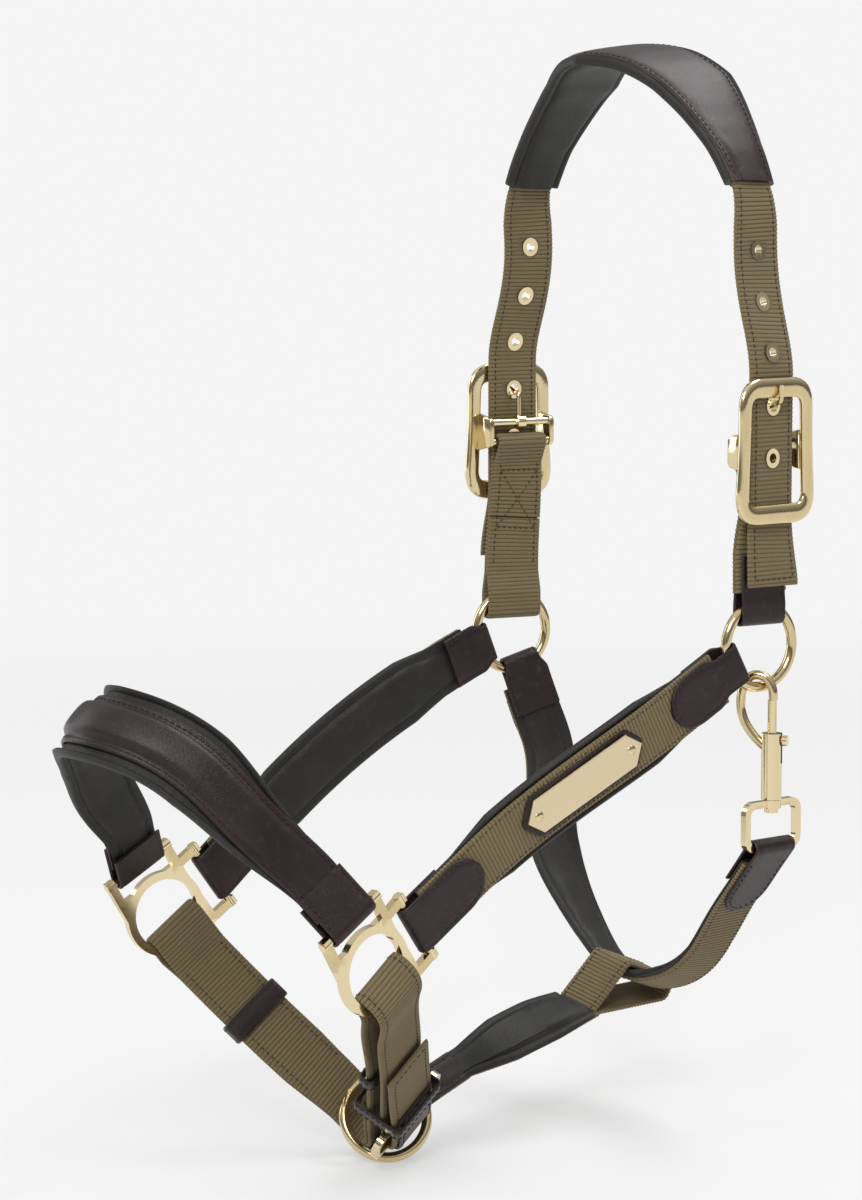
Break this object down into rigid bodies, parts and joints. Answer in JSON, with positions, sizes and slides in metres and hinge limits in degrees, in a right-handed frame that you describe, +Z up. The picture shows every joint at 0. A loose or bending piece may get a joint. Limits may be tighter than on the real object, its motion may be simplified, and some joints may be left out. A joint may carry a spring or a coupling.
{
  "type": "headcollar",
  "caption": "Padded headcollar of webbing and leather with a buckled crown, lined cheek straps, raised noseband, adjustable chin strap, lead ring and a clipped throat strap.",
  "frame": {"origin": "underside of the poll pad at its middle, where it rests on the poll", "axes": "+Z up, the nose points along -Y, +X is the near side (the animal's left)"},
  "size_m": [0.2088, 0.3638, 0.5329],
  "materials": {
    "webbing": "ribbed khaki webbing with darker stitching",
    "leather": "dark brown leather, satin",
    "lining": "soft charcoal lining",
    "foam": "closed-cell foam, hidden",
    "spring_steel": "plain spring wire",
    "small_brass": "polished pale gold",
    "brass": "polished pale gold"
  },
  "bodies": {
    "headcollar": {"chin_slider": "brass", "jaw_chape": "leather", "jaw_lining": "lining", "jaw_loop": "webbing", "jaw_webbing": "webbing", "nameplate": "brass", "nameplate_backing": "leather", "nameplate_rivets": "small_brass", "near_billet": "webbing", "near_bracket": "brass", "near_buckle": "brass", "near_cheek_lining": "lining", "near_cheek_lower_chape": "leather", "near_cheek_upper_chape": "leather", "near_cheek_webbing": "webbing", "near_chin_chape": "leather", "near_chin_keeper_lower": "leather", "near_chin_strap": "webbing", "near_eyelets": "small_brass", "near_nose_chape": "leather", "near_tab": "webbing", "near_tab_chape": "leather", "noseband_cover": "leather", "noseband_lining": "lining", "off_billet": "webbing", "off_bracket": "brass", "off_buckle": "brass", "off_cheek_lining": "lining", "off_cheek_lower_chape": "leather", "off_cheek_upper_chape": "leather", "off_cheek_webbing": "webbing", "off_chin_strap": "webbing", "off_eyelets": "small_brass", "off_nose_chape": "leather", "off_tab": "webbing", "poll_pad_core": "foam", "poll_pad_cover": "leather", "poll_pad_lining": "lining", "snap_eye": "brass", "throat_lining": "lining", "throat_off_chape": "leather", "throat_snap_chape": "leather", "throat_webbing": "webbing"},
    "near_tongue": {"near_buckle_tongue": "brass"},
    "off_tongue": {"off_buckle_tongue": "brass"},
    "near_ring": {"near_cheek_ring": "brass"},
    "off_ring": {"off_cheek_ring": "brass"},
    "chin_ring": {"lead_ring": "brass"},
    "snap": {"snap_hook": "brass", "snap_rivet": "small_brass", "snap_spring": "spring_steel"},
    "bolt": {"snap_bolt": "brass"},
    "off_keeper": {"off_chin_keeper": "leather"},
    "near_keeper": {"near_chin_keeper_upper": "leather"}
  },
  "joints": [
    {"name": "near_tongue_swing", "type": "hinge", "parent": "headcollar", "child": "near_tongue", "pos_m": [0.08882, 0.01557, -0.1795], "axis": [-0.0698, 0.9976, 0], "range_deg": [0, 4]},
    {"name": "off_tongue_swing", "type": "hinge", "parent": "headcollar", "child": "off_tongue", "pos_m": [-0.08882, 0.01557, -0.1795], "axis": [-0.0698, -0.9976, 0], "range_deg": [0, 4]},
    {"name": "near_ring_turn", "type": "hinge", "parent": "headcollar", "child": "near_ring", "pos_m": [0.0917, 0.013, -0.278], "axis": [0.9945, -0.1045, 0], "continuous": true},
    {"name": "off_ring_turn", "type": "hinge", "parent": "headcollar", "child": "off_ring", "pos_m": [-0.0917, 0.013, -0.288], "axis": [-0.9703, 0.2419, 0], "continuous": true},
    {"name": "lead_ring_turn", "type": "hinge", "parent": "headcollar", "child": "chin_ring", "pos_m": [0, -0.143, -0.502], "axis": [0.7577, -0.421, 0.4986], "continuous": true},
    {"name": "snap_swivel", "type": "hinge", "parent": "headcollar", "child": "snap", "pos_m": [0.0979, 0.0163, -0.352], "axis": [0, 0, 1], "range_deg": [-5, 0]},
    {"name": "bolt_slide", "type": "slide", "parent": "snap", "child": "bolt", "axis": [0, 0, -1], "range_m": [0, 0.009], "stiffness_N_per_m": 300, "springref_m": -0.01, "deforming": ["snap_spring"]},
    {"name": "off_keeper_slide", "type": "slide", "parent": "headcollar", "child": "off_keeper", "axis": [0.5444, 0.4854, -0.6841], "range_m": [-0.006, 0.006]},
    {"name": "near_keeper_slide", "type": "slide", "parent": "headcollar", "child": "near_keeper", "axis": [0.6519, -0.4506, 0.6099], "range_m": [-0.004, 0.004]}
  ]
}
